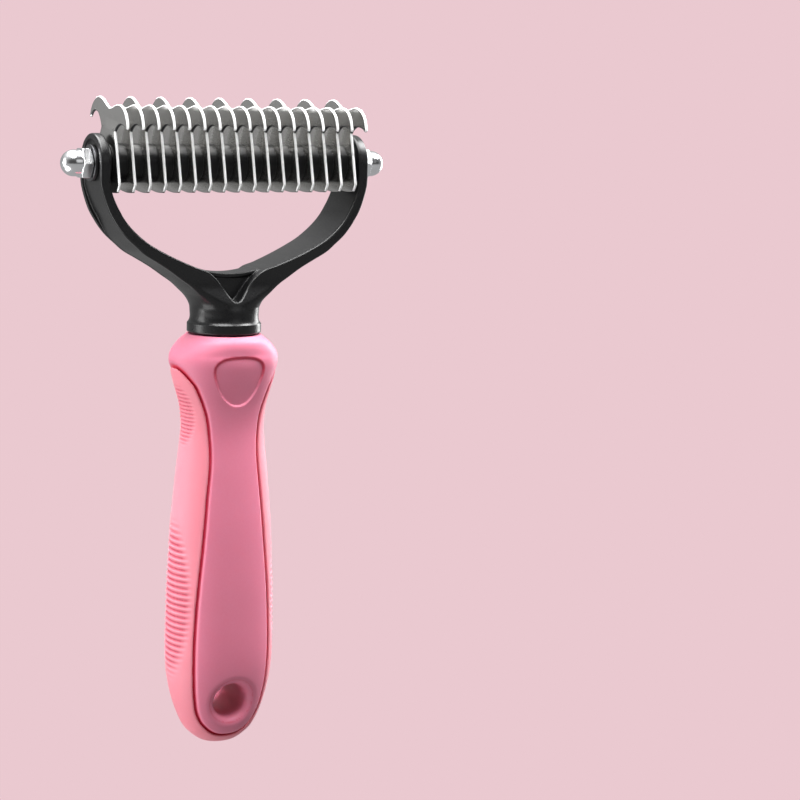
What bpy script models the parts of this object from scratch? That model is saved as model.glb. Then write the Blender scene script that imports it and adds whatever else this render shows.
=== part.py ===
"""Two-sided undercoat rake: a fork with a blade head clamped across it, on an oval handle.

Frame: metres, +Z up along the handle, +X along the blade shaft, -Y towards the front.
The origin is level with the butt end, under the middle of the rake's width and depth.
Sizes are in millimetres; the helpers turn them into metres.
"""

import math

import bmesh
import bpy
from mathutils import Matrix

MM = 0.001

# ---- dimensions shared by the sections --------------------------------------
SHAFT_Z = 169.0            # blade shaft above the butt
HANDLE_Y = 1.25            # handle and shaft axes behind the middle of the whole depth
GAP = 0.3                  # between neighbouring mouldings
TANG_R = 6.0               # round tang of the fork, inside the handle
TANG_BOTTOM = 94.0
ARM_INNER_X = 38.4         # inner face of a boss
ARM_OUTER_X = 41.2         # outer rim of a boss
CHANNEL = 0.7              # depth of the channel along an arm's outer side
RUNNING_R = 2.50           # holes round the shaft

FRONT = (math.radians(90), 0, 0)                    # slab drawn in XZ, thick along Y
SIDE = (math.radians(90), 0, math.radians(90))      # slab drawn in YZ, thick along X
ALONG_X = (0, math.radians(90), 0)                  # turned piece with its top towards +X
SHARP_ANGLE = math.radians(30)                      # smooth pieces keep edges above this


# ---- scene and finishes -----------------------------------------------------
def clear_scene():
    for obj in list(bpy.data.objects):
        bpy.data.objects.remove(obj, do_unlink=True)


def collection(name):
    coll = bpy.data.collections.new(name)
    bpy.context.scene.collection.children.link(coll)
    return coll


def material(name, rgb, roughness, metallic=0.0):
    mat = bpy.data.materials.new(name)
    mat.use_nodes = True
    shader = mat.node_tree.nodes["Principled BSDF"]
    shader.inputs["Base Color"].default_value = (*rgb, 1.0)
    shader.inputs["Roughness"].default_value = roughness
    shader.inputs["Metallic"].default_value = metallic
    mat.diffuse_color = (*rgb, 1.0)
    return mat


clear_scene()
PARTS = collection("undercoat_rake")
CUTTERS = collection("cutters")
FINISHES = {
    "handle": material("pink_plastic", rgb=(0.72, 0.25, 0.36), roughness=0.42),
    "grip": material("pink_soft_grip", rgb=(0.80, 0.30, 0.42), roughness=0.62),
    "fork": material("black_plastic", rgb=(0.020, 0.020, 0.021), roughness=0.45),
    "blade": material("blade_steel", rgb=(0.60, 0.59, 0.57), roughness=0.30, metallic=1.0),
    "spacer": material("spacer_plastic", rgb=(0.010, 0.010, 0.010), roughness=0.35),
    "shaft": material("shaft_steel", rgb=(0.45, 0.45, 0.46), roughness=0.35, metallic=1.0),
    "washer": material("washer_steel", rgb=(0.62, 0.62, 0.63), roughness=0.25, metallic=1.0),
    "nut": material("nut_chrome", rgb=(0.85, 0.85, 0.86), roughness=0.08, metallic=1.0),
}


# ---- outlines ---------------------------------------------------------------
def smooth_curve(points, steps, closed=False):
    """Catmull-Rom points through the given points, steps per span."""
    out = []
    count = len(points)
    for i in range(count if closed else count - 1):
        p1, p2 = points[i], points[(i + 1) % count]
        if closed:
            p0, p3 = points[i - 1], points[(i + 2) % count]
        else:
            p0 = points[i - 1] if i else [2 * a - b for a, b in zip(p1, p2)]
            p3 = points[i + 2] if i + 2 < count else [2 * a - b for a, b in zip(p2, p1)]
        for k in range(steps):
            t = k / steps
            out.append(tuple(
                0.5 * (2 * b + (c - a) * t + (2 * a - 5 * b + 4 * c - d) * t * t
                       + (3 * b - a - 3 * c + d) * t ** 3)
                for a, b, c, d in zip(p0, p1, p2, p3)))
    if not closed:
        out.append(tuple(points[-1]))
    return out


def offset(points, distance):
    """Open outline moved sideways, to the left of its direction of travel."""
    out = []
    for i, (x, y) in enumerate(points):
        x0, y0 = points[max(i - 1, 0)]
        x1, y1 = points[min(i + 1, len(points) - 1)]
        length = math.hypot(x1 - x0, y1 - y0)
        out.append((x - (y1 - y0) / length * distance, y + (x1 - x0) / length * distance))
    return out


def mirrored(half):
    """Closed outline from a right half whose ends lie on the centre line."""
    return list(half) + [(-x, y) for x, y in reversed(half) if abs(x) > 1e-6]


def both_ends(upper):
    """Profile (radius, height) from its upper half, repeated below height zero."""
    return upper + [(radius, -z) for radius, z in reversed(upper)]


def cylinder(radius, top, bottom):
    return [(0, top), (radius, top), (radius, bottom), (0, bottom)]


def square(side):
    half = side / 2
    return [(-half, -half), (half, -half), (half, half), (-half, half)]


def circle(radius, segments):
    return [(radius * math.cos(2 * math.pi * k / segments),
             radius * math.sin(2 * math.pi * k / segments)) for k in range(segments)]


# ---- meshes and objects -----------------------------------------------------
def part(name, mesh, finish, smooth=True):
    """Visible piece of the rake; pieces may share a mesh."""
    obj = bpy.data.objects.new(name, mesh)
    PARTS.objects.link(obj)
    mesh.materials.clear()
    mesh.materials.append(FINISHES[finish])
    if smooth:
        mesh.shade_smooth()
        mesh.set_sharp_from_angle(angle=SHARP_ANGLE)
    return obj


def cutter(name, mesh):
    """Helper solid for the Boolean modifiers."""
    obj = bpy.data.objects.new(name, mesh)
    CUTTERS.objects.link(obj)
    obj.hide_render = True
    obj.display_type = "WIRE"
    return obj


def mesh_from(bm, name):
    mesh = bpy.data.meshes.new(name)
    bm.to_mesh(mesh)
    bm.free()
    return mesh


def slab(name, outlines, thickness):
    """Mesh of flat outlines, filled and extruded to a thickness; an inner outline is a hole."""
    curve = bpy.data.curves.new(name, "CURVE")
    curve.dimensions = "2D"
    curve.fill_mode = "BOTH"
    curve.extrude = thickness * MM / 2
    for outline in outlines:
        spline = curve.splines.new("POLY")
        spline.points.add(len(outline) - 1)
        for point, (x, y) in zip(spline.points, outline):
            point.co = (x * MM, y * MM, 0.0, 1.0)
        spline.use_cyclic_u = True
    flat = bpy.data.objects.new(name + "_outline", curve)
    bpy.context.scene.collection.objects.link(flat)
    bpy.context.view_layer.update()
    evaluated = flat.evaluated_get(bpy.context.evaluated_depsgraph_get())
    mesh = bpy.data.meshes.new_from_object(evaluated)
    bpy.data.objects.remove(flat, do_unlink=True)
    # the fill and the side walls come unjoined
    bm = bmesh.new()
    bm.from_mesh(mesh)
    bmesh.ops.remove_doubles(bm, verts=bm.verts, dist=1e-7)
    bmesh.ops.recalc_face_normals(bm, faces=bm.faces)
    bm.to_mesh(mesh)
    bm.free()
    mesh.name = name
    return mesh


def slab_cutter(name, outline, thickness, rotation=FRONT):
    obj = cutter(name, slab(name, [outline], thickness))
    obj.rotation_euler = rotation
    return obj


def turned(name, profile, segments, finish=None):
    """Profile (radius, height), top to bottom, both ends on the axis, turned by Screw.

    With a finish it is a smooth part, without one a cutter.
    """
    mesh = bpy.data.meshes.new(name)
    verts = [(radius * MM, 0.0, z * MM) for radius, z in profile]
    mesh.from_pydata(verts, [(i, i + 1) for i in range(len(verts) - 1)], [])
    obj = part(name, mesh, finish, smooth=False) if finish else cutter(name, mesh)
    screw = obj.modifiers.new("turn", "SCREW")
    screw.axis = "Z"
    screw.angle = 2 * math.pi
    screw.steps = screw.render_steps = segments
    screw.use_merge_vertices = True
    screw.merge_threshold = 1e-6
    screw.use_smooth_shade = finish is not None
    return obj


def cut(obj, other, operation="DIFFERENCE"):
    boolean = obj.modifiers.new(other.name, "BOOLEAN")
    boolean.operation = operation
    boolean.solver = "EXACT"
    boolean.object = other


# ---- handle -----------------------------------------------------------------
HANDLE_SEGMENTS = 28
DEPTH_RATIO = 0.79         # handle's depth over its width
OVAL_POWER = 2.15          # superellipse power of the cross-section; 2 is an ellipse
ROUNDING_Z = 115.0         # the oval starts turning round here
ROUNDING_RISE = 5.8        # and is round this much higher
BUTT_Z = 6.0               # an inset also lifts the rings up to here
BUTT_FADE = 8.0            # height at which that lift would reach zero
BAND_THICK = 2.0
GROOVE = 0.6               # open groove between panel and band
PANEL_SIDE_X = 24.0        # panel outline beyond the handle, above its shoulder
PANEL_SIDE_Z = 115.0
PANEL_TOP = 126.0
SOCKET_TOP = 125.0
HANG_Z = 14.4
HANG_R = 5.0
BADGE_Z = 108.0
BADGE_W = 15.2
BADGE_H = 14.0
BADGE_FLOOR = 10.3         # recess floor in front of the handle's axis
BADGE_CUT = 20.0           # thickness of the recess cutter

# handle outline: (half width, height), butt to collar
HANDLE = [
    (0.0, 0.0), (4.9, 0.8), (8.3, 3.0), (10.9, 6.0), (13.5, 12.1), (15.2, 18.9), (15.95, 25.0),
    (16.15, 32.0), (16.05, 40.0), (15.9, 48.0), (15.45, 57.2), (14.9, 66.0), (14.2, 73.5),
    (13.4, 82.0), (12.6, 89.0), (12.35, 94.5), (12.9, 100.0), (14.0, 104.5), (15.1, 108.5),
    (16.0, 112.9), (15.5, 115.8), (13.2, 118.5), (11.1, 120.2), (10.4, 120.8),
]
# panel outline: (half width, height), bottom tip to shoulder
PANEL = [
    (0.0, 3.8), (2.5, 4.05), (4.6, 4.95), (6.6, 6.6), (8.2, 8.6), (9.5, 11.5), (10.2, 14.6),
    (10.8, 18.5), (11.2, 24.0), (11.3, 31.9), (10.6, 46.0), (9.3, 60.0), (8.05, 73.9),
    (7.05, 84.4), (7.1, 91.3), (8.0, 98.2), (10.5, 105.1), (12.6, 108.6), (15.9, 112.8),
    (19.9, 115.3),
]
# hanging hole's flared mouth: (radius beyond HANG_R, distance from mid-depth), outside in
HANG_MOUTH = [(3.6, 22), (3.6, 13.4), (1.3, 10.6), (0.3, 8.6), (0.0, 6.0)]
# right half of the badge's rounded triangle, in half widths and half heights, top to bottom
BADGE = [(0, 1), (0.62, 0.93), (0.97, 0.62), (0.90, 0.10), (0.50, -0.62), (0, -1)]


def handle_depth(half_width, z):
    """Half depth of the handle: oval over the grip, round at the collar."""
    t = min(max((z - ROUNDING_Z) / ROUNDING_RISE, 0.0), 1.0)
    return half_width * (DEPTH_RATIO + (1 - DEPTH_RATIO) * t * t * (3 - 2 * t))


def oval_ring(half_width, half_depth):
    def bulged(value):
        return math.copysign(abs(value) ** (2 / OVAL_POWER), value)

    return [(half_width * bulged(x), half_depth * bulged(y))
            for x, y in circle(1.0, HANDLE_SEGMENTS)]


def handle_loft(name, inset=0.0):
    """Closed oval loft of the handle's outline, moved in by inset."""
    bm = bmesh.new()
    loops = []
    for width, z in HANDLE[1:]:
        height = z if z > BUTT_Z else z + inset * (1 - z / BUTT_FADE)
        ring = oval_ring(width - inset, handle_depth(width, z) - inset)
        loops.append([bm.verts.new((x * MM, y * MM, height * MM)) for x, y in ring])
    tip = bm.verts.new((0, 0, (HANDLE[0][1] + inset) * MM))
    for k in range(HANDLE_SEGMENTS):
        after = (k + 1) % HANDLE_SEGMENTS
        bm.faces.new((tip, loops[0][after], loops[0][k]))
    for low, high in zip(loops, loops[1:]):
        for k in range(HANDLE_SEGMENTS):
            after = (k + 1) % HANDLE_SEGMENTS
            bm.faces.new((low[k], low[after], high[after], high[k]))
    bm.faces.new(loops[-1])
    bmesh.ops.recalc_face_normals(bm, faces=bm.faces)
    return mesh_from(bm, name)


def panel_outline(grow):
    edge = offset(smooth_curve(PANEL, 2), -grow)
    edge[0] = (0.0, PANEL[0][1] - grow)
    return mirrored(edge + [(PANEL_SIDE_X, PANEL_SIDE_Z), (PANEL_SIDE_X, PANEL_TOP),
                            (0.0, PANEL_TOP)])


def hanging_hole():
    mouth = [(HANG_R + flare, y) for flare, y in HANG_MOUTH]
    hole = turned("hanging_hole", both_ends([(0, HANG_MOUTH[0][1])] + mouth), segments=28)
    hole.rotation_euler = FRONT
    hole.location = (0, 0, HANG_Z * MM)
    return hole


def badge_recess():
    half = [(x * BADGE_W / 2, z * BADGE_H / 2) for x, z in BADGE]
    outline = smooth_curve(mirrored(half), 3, closed=True)
    recess = slab_cutter("badge_recess", outline, thickness=BADGE_CUT)
    recess.location = (0, -(BADGE_FLOOR + BADGE_CUT / 2) * MM, BADGE_Z * MM)
    return recess


def build_core():
    """Hard core of the handle, with the panels standing up to the full surface."""
    panel = cutter("panel_block", handle_loft("panel_block"))
    cut(panel, slab_cutter("panel_window", panel_outline(0.0), thickness=60), "INTERSECT")

    core = part("handle_core", handle_loft("handle_core", BAND_THICK), "handle")
    cut(core, panel, "UNION")
    socket = cylinder(TANG_R + GAP, SOCKET_TOP, TANG_BOTTOM - GAP)
    cut(core, turned("tang_socket", socket, segments=28))
    cut(core, hanging_hole())
    cut(core, badge_recess())


def build_band():
    """Grip band round the core, open front and back over the panels."""
    band = part("grip_band", handle_loft("grip_band"), "grip")
    cut(band, cutter("band_inside", handle_loft("band_inside", BAND_THICK - GAP)))
    cut(band, slab_cutter("band_window", panel_outline(GROOVE), thickness=60))


# ---- fork -------------------------------------------------------------------
BOSS_R = 8.2
RIM = 1.6                  # width of the rims along the arm's outer side
CHANNEL_LOW = 132.2        # the channel's floor is drawn from here
CHANNEL_START = 133.0      # the floor meets the surface
CHANNEL_FULL = 138.0       # the floor reaches its full depth
CHANNEL_CUT_BOTTOM = 131.0
CHANNEL_CUT_X = 52.0       # outer side of the channel cutter
WEB_HALF = 4.2             # half thickness of the crotch web
WEB_TOP = 138.2            # top of the web on the centre line
WEB_RISE = 1.2             # its top rises by this
WEB_RISE_X = 8.7           # at this distance from the centre line
FLANGE_R = 10.65
FLANGE_BOTTOM = 121.1
FLANGE_TOP = 123.6
FLANGE_EDGE = 0.3          # bevel of the flange
NECK_R = 9.95
TANG_EDGE = 1.0            # bevel of the tang's end

# fork arm, outer side and inner side: (x, z)
ARM_OUT = [
    (9.95, 122.5), (9.95, 126.0), (10.0, 128.2), (10.7, 130.4), (11.7, 132.4), (13.7, 134.8),
    (16.5, 137.3), (20.0, 139.85), (23.9, 142.2), (27.85, 144.5), (30.6, 146.75), (33.25, 148.8),
    (35.6, 150.95), (37.15, 153.15), (38.5, 155.35), (39.45, 157.5), (40.2, 159.65),
    (40.85, 161.9), (ARM_OUTER_X, 164.2), (ARM_OUTER_X, SHAFT_Z),
]
ARM_IN = [
    (ARM_INNER_X, 165.5), (38.3, 163.5), (37.75, 160.9), (36.75, 158.4), (35.55, 156.15),
    (34.1, 153.8), (32.25, 151.6), (29.8, 149.3), (26.7, 147.0), (22.65, 144.8), (17.8, 142.55),
    (12.4, 140.4), (8.6, 139.1), (5.2, 136.3), (2.4, 132.5), (1.0, 130.8), (0.0, 130.4),
]
# fork half depth: (y, z)
ARM_DEPTH = [
    (9.95, 122.5), (9.9, 126.5), (9.2, 130.5), (8.3, 134.5), (8.1, 139.0), (8.7, 143.0),
    (8.9, 147.5), (8.6, 153.0), (8.4, 159.0), (BOSS_R, 164.0),
]
# neck, flange and tang: (radius, z), top to bottom
COLLAR = [
    (0, 128.6), (8.4, 128.6), (NECK_R - 0.25, 127.4), (NECK_R, 125.8), (NECK_R + 0.2, 124.4),
    (FLANGE_R - FLANGE_EDGE, FLANGE_TOP), (FLANGE_R, FLANGE_TOP - FLANGE_EDGE),
    (FLANGE_R, FLANGE_BOTTOM + FLANGE_EDGE), (FLANGE_R - FLANGE_EDGE, FLANGE_BOTTOM),
    (TANG_R, FLANGE_BOTTOM), (TANG_R, TANG_BOTTOM + TANG_EDGE),
    (TANG_R - TANG_EDGE, TANG_BOTTOM), (0, TANG_BOTTOM),
]
# turned envelope of the fork, above and below its flare: (radius, z), top to bottom
ENVELOPE_TOP = [(0, 184), (46, 184), (46, 158)]
ENVELOPE_FOOT = [(NECK_R - 0.45, 125.2), (NECK_R - 0.5, 119), (0, 119)]


def fork_front():
    top = SHAFT_Z + BOSS_R + 2
    return mirrored([(0.0, ARM_OUT[0][1])] + smooth_curve(ARM_OUT, 2)
                    + [(ARM_OUTER_X, top), (ARM_INNER_X, top)] + smooth_curve(ARM_IN, 2))


def fork_side(inset=0.0, low=0.0, extension=0.0):
    """Side view of the fork above low: its depth, with the round end of the bosses.

    An extension carries the foot straight down.
    """
    depth = [(y - inset, z) for y, z in smooth_curve(ARM_DEPTH, 2) if z >= low]
    if extension:
        foot_y, foot_z = depth[0]
        depth.insert(0, (foot_y, foot_z - extension))
    radius = BOSS_R - inset
    boss = [(radius * math.cos(angle), SHAFT_Z + radius * math.sin(angle))
            for angle in map(math.radians, range(0, 91, 10))]
    return mirrored([(0.0, depth[0][1])] + depth + boss)


def neck_envelope():
    """Turned solid that keeps the fork a little slimmer than the collar where they join."""
    clearance, widening = 0.10, 0.12
    flare_start, flare_from = 128, 129
    flare = [(x + clearance + widening * max(z - flare_from, 0) ** 2, z)
             for x, z in smooth_curve(ARM_OUT[:8], 2) if z > flare_start]
    return turned("neck_flare", ENVELOPE_TOP + flare[::-1] + ENVELOPE_FOOT, segments=40)


def crotch_web():
    """Thin web that fills the crotch between the arms."""
    top = [(x, WEB_TOP + WEB_RISE * (x / WEB_RISE_X) ** 2)
           for x in (WEB_RISE_X, 7.0, 4.8, 2.4, 0)]
    half = [(0.0, 127.0), (4.0, 127.0), (6.0, 131.0), (10.6, WEB_TOP)] + top
    return slab_cutter("crotch_web", mirrored(half), thickness=2 * WEB_HALF)


def channel_outline():
    """Front view of the right channel's cutter; its floor runs out through the surface."""
    path = [point for point in smooth_curve(ARM_OUT, 2) if point[1] > CHANNEL_LOW]
    floor = []
    for (x, z), (inner_x, inner_z) in zip(path, offset(path, 1.0)):
        depth = CHANNEL * min(1.0, (z - CHANNEL_START) / (CHANNEL_FULL - CHANNEL_START))
        floor.append((x + (inner_x - x) * depth, z + (inner_z - z) * depth))
    top = SHAFT_Z + BOSS_R + 4
    return floor + [(ARM_OUTER_X - CHANNEL, top), (CHANNEL_CUT_X, top),
                    (CHANNEL_CUT_X, CHANNEL_CUT_BOTTOM), (floor[0][0] + 2, CHANNEL_CUT_BOTTOM)]


def build_fork():
    fork = part("fork", slab("fork", [fork_front()], thickness=24), "fork")
    fork.rotation_euler = FRONT
    side = slab_cutter("fork_side", fork_side(extension=3.0), thickness=100, rotation=SIDE)
    cut(fork, side, "INTERSECT")
    cut(fork, neck_envelope(), "INTERSECT")
    cut(fork, crotch_web(), "UNION")
    cut(fork, turned("neck_flange_tang", COLLAR, segments=36), "UNION")

    for sign, tag in ((1, "right"), (-1, "left")):
        outline = [(sign * x, z) for x, z in channel_outline()]
        channel = slab_cutter("channel_" + tag, outline, thickness=30)
        between_rims = slab_cutter("channel_width_" + tag, fork_side(inset=RIM, low=132),
                                   thickness=120, rotation=SIDE)
        cut(channel, between_rims, "INTERSECT")
        cut(fork, channel)

    bore = turned("shaft_bore", cylinder(RUNNING_R, 60, -60), segments=24)
    bore.rotation_euler = ALONG_X
    bore.location = (0, 0, SHAFT_Z * MM)
    cut(fork, bore)


# ---- blade head -------------------------------------------------------------
HEAD_PITCH_DEG = 8.5       # blades lean forward at rest
BLADE_COUNT = 17
BLADE_PITCH = 4.55
BLADE_THICK = 0.8
MIDDLE_BLADE = (BLADE_COUNT - 1) / 2
SPACER_R = 5.45
SIDE_GAP = 0.10            # between blade and spacer
END_PLAY = 0.3             # total free length at an end spacer
KEY_HOLE = 5.2             # square hole of blades and spacers

SHAFT_SQUARE = 5.0
SHAFT_HALF_SQUARE = 38.1   # half length of the square part
SHAFT_ROUND_R = 2.42
SHAFT_HALF_LENGTH = 46.8
SHAFT_EDGE = 0.5           # bevel of the shaft's ends

WASHER_R = 5.0
WASHER_THICK = 1.05
WASHER_GAP = 0.15          # to the channel floor, and round the shaft beyond RUNNING_R
NUT_BASE_X = 41.9
NUT_FLATS = 8.0
NUT_CORNER_R = NUT_FLATS / math.sqrt(3)
NUT_HEX_TOP_X = 44.7
NUT_DOME_R = 3.65
NUT_TIP_X = 49.9

# blade outlines: (distance from the shaft towards one side, height above the shaft)
HOOK_BACK = [(0.0, 15.3), (3.4, 16.4), (6.9, 17.25), (9.9, 16.7), (12.3, 14.8), (13.6, 12.3)]
HOOK_TIP = [(13.55, 11.6), (12.95, 11.45)]
HOOK_THROAT = [(11.7, 11.9), (9.2, 12.1), (6.8, 11.2), (5.1, 9.4)]
PLAIN_TOP = [(0.0, 15.3), (2.7, 14.7), (4.7, 12.7), (5.1, 9.4)]
FLANK_AND_FOOT = [(6.6, 6.0), (9.0, 0.0), (10.55, -4.0), (9.4, -6.5), (6.0, -7.2), (0.0, -7.45)]


def blade_mesh(name, two_sided):
    hooked = (smooth_curve(HOOK_BACK, 2) + HOOK_TIP + smooth_curve(HOOK_THROAT, 2)
              + FLANK_AND_FOOT)
    rear = hooked if two_sided else smooth_curve(PLAIN_TOP, 2) + FLANK_AND_FOOT
    # the front of the rake is -Y
    outline = [(-y, z) for y, z in hooked] + [(y, z) for y, z in reversed(rear) if y > 1e-6]
    return slab(name, [outline, square(KEY_HOLE)], BLADE_THICK)


def place(obj, pivot, x):
    """Stand a slab on the shaft at x."""
    obj.parent = pivot
    obj.location = (x * MM, 0, 0)
    obj.rotation_euler = SIDE


def build_blades(pivot):
    two_sided = blade_mesh("blade_two_sided", True)
    one_sided = blade_mesh("blade_one_sided", False)
    for i in range(BLADE_COUNT):
        mesh = one_sided if i % 2 else two_sided
        blade = part("blade_%02d" % (i + 1), mesh, "blade", smooth=False)
        place(blade, pivot, (i - MIDDLE_BLADE) * BLADE_PITCH)


def spacer_mesh(name, length):
    return slab(name, [circle(SPACER_R, 24), square(KEY_HOLE)], length)


def build_spacers(pivot):
    spacer = spacer_mesh("spacer", BLADE_PITCH - BLADE_THICK - 2 * SIDE_GAP)
    for i in range(BLADE_COUNT - 1):
        place(part("spacer_%02d" % (i + 1), spacer, "spacer"), pivot,
              (i + 0.5 - MIDDLE_BLADE) * BLADE_PITCH)

    last_face = MIDDLE_BLADE * BLADE_PITCH + BLADE_THICK / 2
    room = ARM_INNER_X - last_face
    end = spacer_mesh("end_spacer", room - END_PLAY)
    for sign, tag in ((-1, "left"), (1, "right")):
        place(part("end_spacer_" + tag, end, "spacer"), pivot, sign * (last_face + room / 2))


def build_shaft(pivot):
    """Square shaft with round ends."""
    bm = bmesh.new()
    bmesh.ops.create_cube(bm, size=1, matrix=Matrix.Diagonal(
        (2 * SHAFT_HALF_SQUARE * MM, SHAFT_SQUARE * MM, SHAFT_SQUARE * MM, 1)))
    shaft = part("blade_shaft", mesh_from(bm, "blade_shaft"), "shaft", smooth=False)
    shaft.parent = pivot
    ends = turned("shaft_ends", both_ends([
        (0, SHAFT_HALF_LENGTH), (SHAFT_ROUND_R - SHAFT_EDGE, SHAFT_HALF_LENGTH),
        (SHAFT_ROUND_R, SHAFT_HALF_LENGTH - SHAFT_EDGE)]), segments=16)
    ends.parent = pivot
    ends.rotation_euler = ALONG_X
    cut(shaft, ends, "UNION")


def build_washer(pivot, sign, tag):
    rings = [circle(WASHER_R, 24), circle(RUNNING_R + WASHER_GAP, 24)]
    washer = part("washer_" + tag, slab("washer_" + tag, rings, WASHER_THICK), "washer")
    place(washer, pivot, sign * (ARM_OUTER_X - CHANNEL + WASHER_GAP + WASHER_THICK / 2))


def build_nut(pivot, sign, tag):
    """Domed cap nut: a bevelled disc cut to a hexagon, with a dome and a blind bore."""
    disc_r = NUT_CORNER_R + 0.05
    nut = turned("cap_nut_" + tag, [
        (0, NUT_HEX_TOP_X), (3.9, NUT_HEX_TOP_X), (disc_r, NUT_HEX_TOP_X - 0.45),
        (disc_r, NUT_BASE_X + 0.3), (4.2, NUT_BASE_X), (0, NUT_BASE_X)],
        segments=24, finish="nut")

    hexagon = slab_cutter("hexagon_" + tag, circle(NUT_CORNER_R, 6),
                          thickness=NUT_HEX_TOP_X - NUT_BASE_X + 4)
    place(hexagon, pivot, sign * (NUT_BASE_X + NUT_HEX_TOP_X) / 2)

    dome_centre = NUT_TIP_X - NUT_DOME_R
    dome_foot = NUT_HEX_TOP_X - 1.5
    dome = [(NUT_DOME_R * math.sin(angle), dome_centre + NUT_DOME_R * math.cos(angle))
            for angle in map(math.radians, range(0, 91, 18))]
    cap = turned("nut_dome_" + tag, dome + [(NUT_DOME_R, dome_foot), (0, dome_foot)],
                 segments=20)
    thread = turned("nut_thread_" + tag, cylinder(RUNNING_R, 47.4, 38.0), segments=16)
    for obj in (nut, cap, thread):
        obj.parent = pivot
        obj.rotation_euler = (0, math.radians(90 * sign), 0)

    cut(nut, hexagon, "INTERSECT")
    cut(nut, cap, "UNION")
    cut(nut, thread)


def build_head():
    """Blades, spacers, shaft and end fittings, pitched together about the shaft."""
    pivot = bpy.data.objects.new("head_pivot", None)
    PARTS.objects.link(pivot)
    pivot.location = (0, 0, SHAFT_Z * MM)
    pivot.rotation_euler = (math.radians(HEAD_PITCH_DEG), 0, 0)
    build_blades(pivot)
    build_spacers(pivot)
    build_shaft(pivot)
    for sign, tag in ((-1, "left"), (1, "right")):
        build_washer(pivot, sign, tag)
        build_nut(pivot, sign, tag)


# ---- the rake ---------------------------------------------------------------
build_core()
build_band()
build_fork()
build_head()
# everything is built on the handle's axis; the head follows its pivot
for obj in list(PARTS.objects) + list(CUTTERS.objects):
    if obj.parent is None:
        obj.location.y += HANDLE_Y * MM
bpy.context.view_layer.update()
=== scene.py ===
import math

import bmesh
import bpy
import numpy as np
from mathutils import Matrix, Quaternion, Vector
from mathutils.geometry import tessellate_polygon


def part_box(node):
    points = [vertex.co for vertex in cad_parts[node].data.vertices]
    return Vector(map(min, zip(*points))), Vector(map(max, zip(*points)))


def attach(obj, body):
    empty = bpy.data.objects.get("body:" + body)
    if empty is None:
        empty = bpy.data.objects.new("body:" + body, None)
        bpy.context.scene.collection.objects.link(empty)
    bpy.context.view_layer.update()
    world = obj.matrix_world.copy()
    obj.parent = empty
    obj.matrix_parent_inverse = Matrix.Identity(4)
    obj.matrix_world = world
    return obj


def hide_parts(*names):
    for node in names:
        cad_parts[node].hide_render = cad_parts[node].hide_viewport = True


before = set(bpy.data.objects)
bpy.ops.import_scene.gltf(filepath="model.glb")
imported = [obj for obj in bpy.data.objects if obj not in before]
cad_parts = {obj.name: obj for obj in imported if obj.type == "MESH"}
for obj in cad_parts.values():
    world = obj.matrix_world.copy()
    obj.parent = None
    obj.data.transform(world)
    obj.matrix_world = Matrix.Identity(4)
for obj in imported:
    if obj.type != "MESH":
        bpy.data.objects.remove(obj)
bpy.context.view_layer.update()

FINE = 1.0      # grid coarsening while trying things
MM = 0.001

# ------------------------------------------------------------------ places, from the CAD
lo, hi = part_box("blade_shaft")
SHAFT_Z = (lo.z + hi.z) * 500.0
lo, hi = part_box("fork")
FORK_LO, FORK_HI = Vector(lo) * 1000, Vector(hi) * 1000
BOSS_R = FORK_HI.z - SHAFT_Z
PITCH = math.radians(8.5)                   # the head leans forward at rest
HANDLE_Y = (FORK_LO.y + FORK_HI.y) / 2        # the handle stands behind the middle of the whole depth
HEAD = Matrix.Translation((0, HANDLE_Y * MM, SHAFT_Z * MM)) @ Matrix.Rotation(PITCH, 4, "X")

# design outlines, millimetres: (half width, height) or (x, z)
HANDLE = [
    (0.0, 0.0), (4.9, 0.8), (8.3, 3.0), (10.9, 6.0), (13.5, 12.1), (15.2, 18.9), (15.95, 25.0),
    (16.15, 32.0), (16.05, 40.0), (15.9, 48.0), (15.45, 57.2), (14.9, 66.0), (14.2, 73.5),
    (13.4, 82.0), (12.6, 89.0), (12.35, 94.5), (12.9, 100.0), (14.0, 104.5), (15.1, 108.5),
    (16.0, 112.9), (15.5, 115.8), (13.2, 118.5), (11.1, 120.2), (10.4, 120.8),
]
PANEL = [
    (0.0, 3.8), (2.5, 4.05), (4.6, 4.95), (6.6, 6.6), (8.2, 8.6), (9.5, 11.5), (10.2, 14.6),
    (10.8, 18.5), (11.2, 24.0), (11.3, 31.9), (10.6, 46.0), (9.3, 60.0), (8.05, 73.9),
    (7.05, 84.4), (7.1, 91.3), (8.0, 98.2), (10.5, 105.1), (12.6, 108.6), (15.9, 112.8),
    (19.9, 115.3),
]
ARM_OUTER_X, ARM_INNER_X = FORK_HI.x, 38.4
ARM_OUT = [
    (9.95, 122.5), (9.95, 126.0), (10.0, 128.2), (10.7, 130.4), (11.7, 132.4), (13.7, 134.8),
    (16.7, 137.0), (20.25, 139.45), (24.2, 141.8), (28.2, 144.1), (30.95, 146.4), (33.5, 148.6),
    (35.6, 150.95), (37.15, 153.15), (38.5, 155.35), (39.45, 157.5), (40.2, 159.65),
    (40.85, 161.9), (ARM_OUTER_X, 164.2), (ARM_OUTER_X, 169.0),
]
ARM_IN = [
    (ARM_INNER_X, 165.5), (38.3, 163.5), (37.75, 160.9), (36.75, 158.4), (35.55, 156.15),
    (34.1, 153.8), (32.25, 151.6), (29.8, 149.3), (26.7, 147.0), (22.65, 144.8), (17.8, 142.55),
    (12.4, 140.4), (8.6, 139.1), (5.2, 136.3), (2.4, 132.5), (1.0, 130.8), (0.0, 130.4),
]
ARM_DEPTH = [
    (9.95, 122.5), (9.9, 126.5), (9.0, 130.5), (7.7, 134.5), (7.8, 139.0), (8.6, 143.0),
    (8.9, 147.5), (8.6, 153.0), (8.4, 159.0), (BOSS_R, 164.0),
]
DEPTH_RATIO = 0.79
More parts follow.
